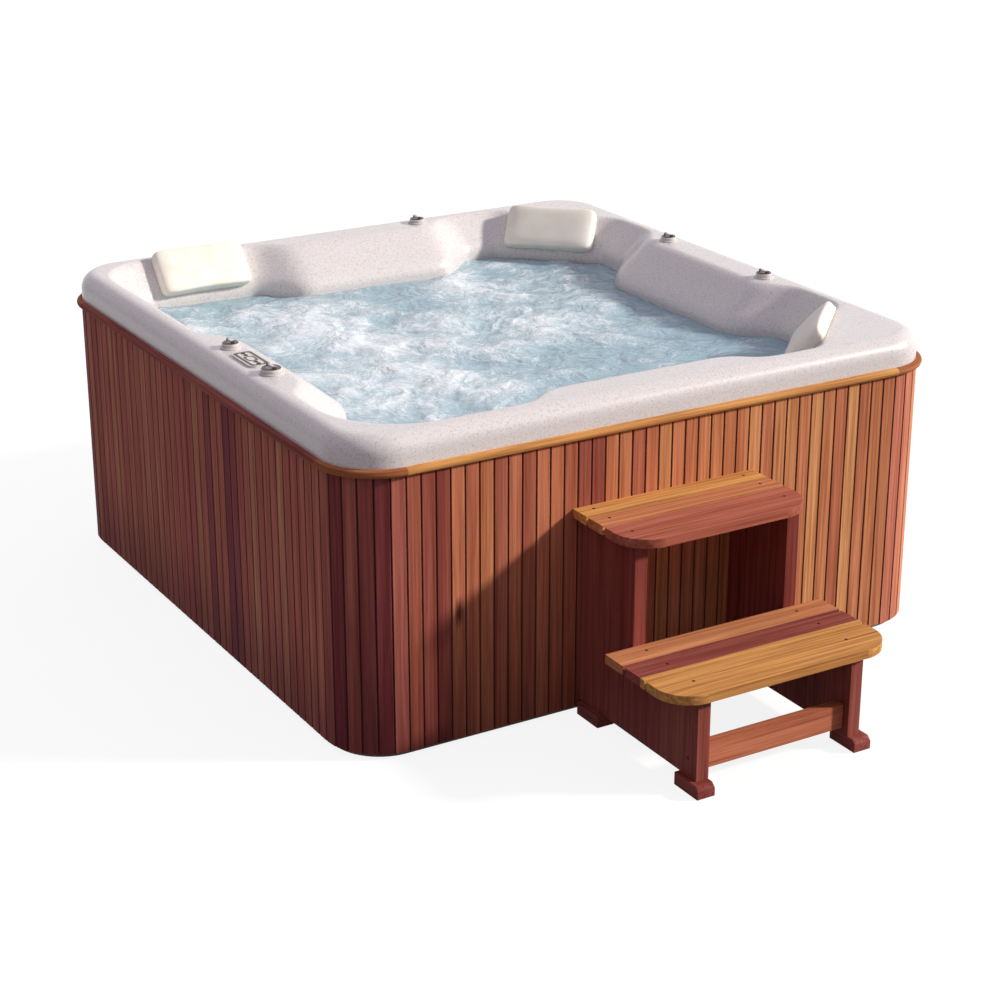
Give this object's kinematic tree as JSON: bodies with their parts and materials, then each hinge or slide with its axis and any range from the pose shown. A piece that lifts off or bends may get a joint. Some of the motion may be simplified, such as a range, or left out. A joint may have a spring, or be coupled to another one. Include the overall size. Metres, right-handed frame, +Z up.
{
  "type": "hot tub",
  "caption": "Square hot tub with a slatted wooden skirt, rolled acrylic shell, headrest pillows, rim controls, jets, inner pump and heater, and free-standing wooden steps.",
  "frame": {"origin": "centre of the tub's base pan, on the floor", "axes": "+Z up, +X to the right along the face with the steps, +Y towards the back"},
  "size_m": [2.132, 2.8152, 1.0113],
  "materials": {
    "cedar_slat": "oiled",
    "cedar_trim": "oiled",
    "cedar_step": "oiled",
    "cedar_tread": "oiled",
    "cedar_plug": "oiled",
    "frame_timber": "sawn",
    "plywood": "sawn",
    "acrylic": "gloss, pearl speckle",
    "pillow_vinyl": "soft vinyl over foam",
    "base_plastic": "moulded",
    "foam_block": "foam",
    "fitting_plastic": "gloss",
    "knob_plastic": "satin",
    "keypad_plastic": "satin",
    "display_window": "gloss",
    "button_rubber": "matte",
    "pipe_plastic": "gloss",
    "handle_plastic": "matte",
    "motor_paint": "paint",
    "dark_plastic": "matte",
    "rotor_steel": "brushed",
    "filter_cloth": "pleated"
  },
  "bodies": {
    "tub": {"front_slats": "cedar_slat", "right_slats": "cedar_slat", "back_slats": "cedar_slat", "corner_slats": "cedar_slat", "trim_rails": "cedar_trim", "trim_corners": "cedar_trim", "bottom_frame": "frame_timber", "top_frame": "frame_timber", "frame_posts": "frame_timber", "skirt_backing": "plywood", "base_pan": "base_plastic", "floor_blocks": "foam_block", "acrylic_shell": "acrylic", "lounge_pillow": "pillow_vinyl", "back_corner_pillow": "pillow_vinyl", "front_corner_pillow": "pillow_vinyl", "air_valve_bodies": "fitting_plastic", "diverter_body": "fitting_plastic", "keypad_bezel": "keypad_plastic", "keypad_display": "display_window", "jet_bodies": "fitting_plastic", "jet_manifold": "pipe_plastic", "jet_hoses": "pipe_plastic", "pressure_pipe": "pipe_plastic", "suction_pipe": "pipe_plastic", "filter_pipe": "pipe_plastic", "suction_covers": "fitting_plastic", "slice_valve_bodies": "pipe_plastic", "pump_motor": "motor_paint", "pump_wet_end": "dark_plastic", "heater_tube": "rotor_steel", "control_box": "dark_plastic", "skimmer_box": "fitting_plastic", "filter_cartridge": "filter_cloth"},
    "access_panel": {"access_backing": "plywood", "access_slats": "cedar_slat"},
    "steps": {"step_sides": "cedar_step", "step_feet": "cedar_step", "step_upper_tread": "cedar_tread", "step_lower_tread": "cedar_tread", "step_rails": "cedar_step", "step_plugs": "cedar_plug"},
    "back_air_knob": {"air_knob_back": "knob_plastic"},
    "right_back_air_knob": {"air_knob_right_back": "knob_plastic"},
    "right_front_air_knob": {"air_knob_right_front": "knob_plastic"},
    "left_air_knob": {"air_knob_left": "knob_plastic"},
    "diverter": {"diverter_knob": "knob_plastic"},
    "button_1": {"keypad_button_1": "button_rubber"},
    "button_2": {"keypad_button_2": "button_rubber"},
    "button_3": {"keypad_button_3": "button_rubber"},
    "button_4": {"keypad_button_4": "button_rubber"},
    "jet_1": {"jet_face_1": "knob_plastic"},
    "jet_2": {"jet_face_2": "knob_plastic"},
    "jet_3": {"jet_face_3": "knob_plastic"},
    "jet_4": {"jet_face_4": "knob_plastic"},
    "weir": {"skimmer_weir": "fitting_plastic"},
    "rotor": {"pump_rotor": "rotor_steel"},
    "suction_gate": {"suction_gate_handle": "handle_plastic"},
    "pressure_gate": {"pressure_gate_handle": "handle_plastic"}
  },
  "joints": [
    {"name": "access_panel_pull", "type": "slide", "parent": "tub", "child": "access_panel", "axis": [-1, 0, 0], "range_m": [0, 0.3]},
    {"name": "steps_pull", "type": "slide", "parent": "tub", "child": "steps", "axis": [0, -1, 0], "range_m": [0, 0.5]},
    {"name": "back_air_turn", "type": "hinge", "parent": "tub", "child": "back_air_knob", "pos_m": [0.29, 0.977, 0.985], "axis": [0, 0, 1], "range_deg": [0, 150]},
    {"name": "right_back_air_turn", "type": "hinge", "parent": "tub", "child": "right_back_air_knob", "pos_m": [0.947, 0.285, 0.985], "axis": [0, 0, 1], "range_deg": [0, 150]},
    {"name": "right_front_air_turn", "type": "hinge", "parent": "tub", "child": "right_front_air_knob", "pos_m": [0.947, -0.285, 0.985], "axis": [0, 0, 1], "range_deg": [0, 150]},
    {"name": "left_air_turn", "type": "hinge", "parent": "tub", "child": "left_air_knob", "pos_m": [-0.947, -0.093, 0.985], "axis": [0, 0, 1], "range_deg": [0, 150]},
    {"name": "diverter_turn", "type": "hinge", "parent": "tub", "child": "diverter", "pos_m": [-0.947, -0.387, 0.985], "axis": [0, 0, 1], "range_deg": [-90, 90]},
    {"name": "button_1_press", "type": "slide", "parent": "tub", "child": "button_1", "axis": [0, 0, -1], "range_m": [0, 0.0012], "stiffness_N_per_m": 600},
    {"name": "button_2_press", "type": "slide", "parent": "tub", "child": "button_2", "axis": [0, 0, -1], "range_m": [0, 0.0012], "stiffness_N_per_m": 600},
    {"name": "button_3_press", "type": "slide", "parent": "tub", "child": "button_3", "axis": [0, 0, -1], "range_m": [0, 0.0012], "stiffness_N_per_m": 600},
    {"name": "button_4_press", "type": "slide", "parent": "tub", "child": "button_4", "axis": [0, 0, -1], "range_m": [0, 0.0012], "stiffness_N_per_m": 600},
    {"name": "jet_1_turn", "type": "hinge", "parent": "tub", "child": "jet_1", "pos_m": [-0.125, 0.777, 0.65], "axis": [0, -1, 0], "range_deg": [0, 120]},
    {"name": "jet_2_turn", "type": "hinge", "parent": "tub", "child": "jet_2", "pos_m": [0.175, 0.777, 0.65], "axis": [0, -1, 0], "range_deg": [0, 120]},
    {"name": "jet_3_turn", "type": "hinge", "parent": "tub", "child": "jet_3", "pos_m": [0.747, 0.15, 0.65], "axis": [-1, 0, 0], "range_deg": [0, 120]},
    {"name": "jet_4_turn", "type": "hinge", "parent": "tub", "child": "jet_4", "pos_m": [0.747, -0.15, 0.65], "axis": [-1, 0, 0], "range_deg": [0, 120]},
    {"name": "weir_swing", "type": "hinge", "parent": "tub", "child": "weir", "pos_m": [-0.565, -0.92, 0.851], "axis": [-1, 0, 0], "range_deg": [0, 65]},
    {"name": "rotor_spin", "type": "hinge", "parent": "tub", "child": "rotor", "pos_m": [-0.64, -0.25, 0.19], "axis": [1, 0, 0], "continuous": true},
    {"name": "suction_gate_pull", "type": "slide", "parent": "tub", "child": "suction_gate", "axis": [0, 0, 1], "range_m": [0, 0.04]},
    {"name": "pressure_gate_pull", "type": "slide", "parent": "tub", "child": "pressure_gate", "axis": [-1, 0, 0], "range_m": [0, 0.04]}
  ]
}
